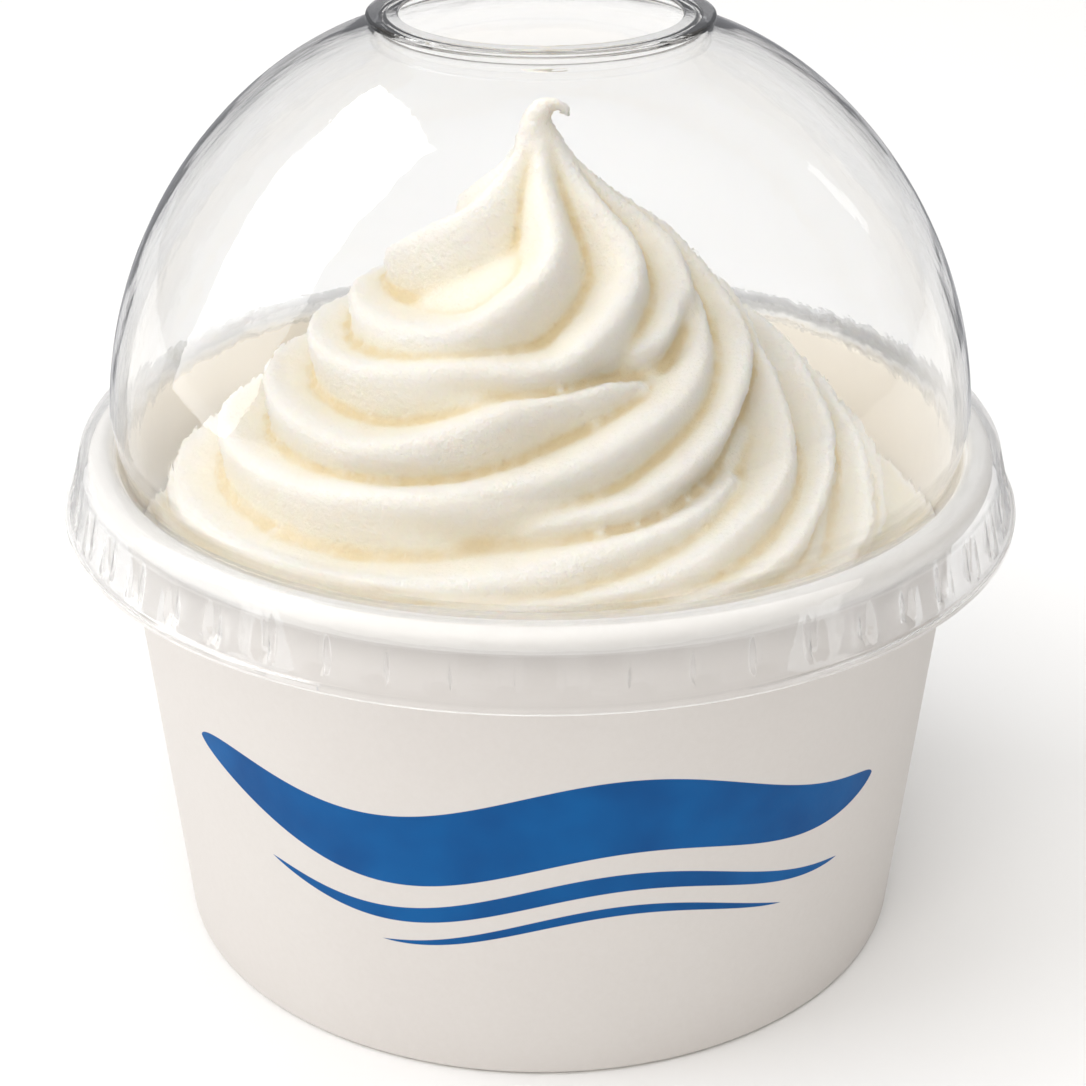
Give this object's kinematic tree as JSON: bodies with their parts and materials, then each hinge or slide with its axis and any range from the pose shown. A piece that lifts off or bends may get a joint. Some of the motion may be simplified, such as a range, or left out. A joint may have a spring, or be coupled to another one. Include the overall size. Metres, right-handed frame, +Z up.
{
  "type": "frozen yogurt cup",
  "caption": "Piped swirl of frozen yogurt in a round paper tub with a rolled rim, under a clear domed lid with a spoon hole.",
  "frame": {"origin": "centre of the tub's foot, on the surface it stands on", "axes": "+Z up along the tub's axis; -Y is the front of the tub; the tip of the swirl curls towards +X"},
  "size_m": [0.103, 0.103, 0.101],
  "materials": {
    "paper": "matte coated white paper",
    "yogurt": "frozen yogurt, creamy white, soft icy grain",
    "clear_plastic": "clear glossy thermoformed sheet"
  },
  "bodies": {
    "root": {"cup": "paper", "yogurt": "yogurt", "dome_lid": "clear_plastic"}
  },
  "joints": []
}
